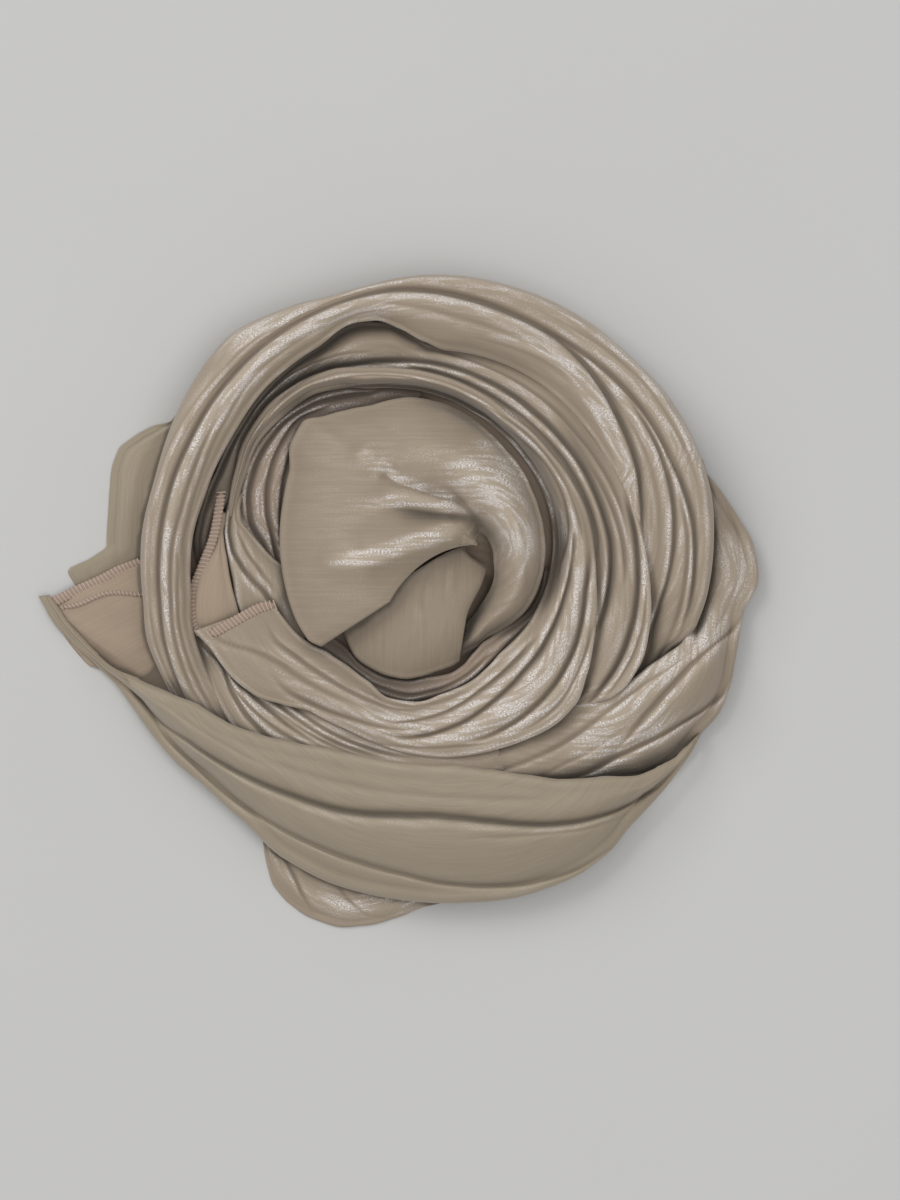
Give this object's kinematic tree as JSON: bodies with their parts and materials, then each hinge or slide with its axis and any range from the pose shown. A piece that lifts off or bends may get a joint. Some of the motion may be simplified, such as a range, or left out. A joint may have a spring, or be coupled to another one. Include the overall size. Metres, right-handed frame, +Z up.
{
  "type": "wound sheer scarf",
  "caption": "Long sheer shimmer scarf, gathered and wound into a loose rosette that lies flat on a surface, with narrow overlocked hems.",
  "frame": {"origin": "middle of the flat underside that rests on the surface, under the middle of the rosette's outline", "axes": "+Z up from the surface, +X to the right in the view from above, along the rosette's greatest width, +Y away from the viewer"},
  "size_m": [0.2756, 0.249, 0.0356],
  "materials": {
    "shimmer_cloth": "sheer shimmer organza, satin sheen with fine slubs",
    "inner_layers": "the same cloth in shade, many layers together",
    "overlock_thread": "fine polyester overlock thread"
  },
  "bodies": {
    "root": {"hidden_layers": "inner_layers", "outer_coil": "shimmer_cloth", "middle_coil": "shimmer_cloth", "inner_coil": "shimmer_cloth", "left_folds": "shimmer_cloth", "hem_corner": "shimmer_cloth", "lower_left_folds": "shimmer_cloth", "lower_sweep": "shimmer_cloth", "right_turn": "shimmer_cloth", "nest_layer": "shimmer_cloth", "centre_petal": "shimmer_cloth", "centre_tongue": "shimmer_cloth", "left_corner": "shimmer_cloth", "back_left_flap": "shimmer_cloth", "bottom_corner": "shimmer_cloth"}
  },
  "joints": []
}
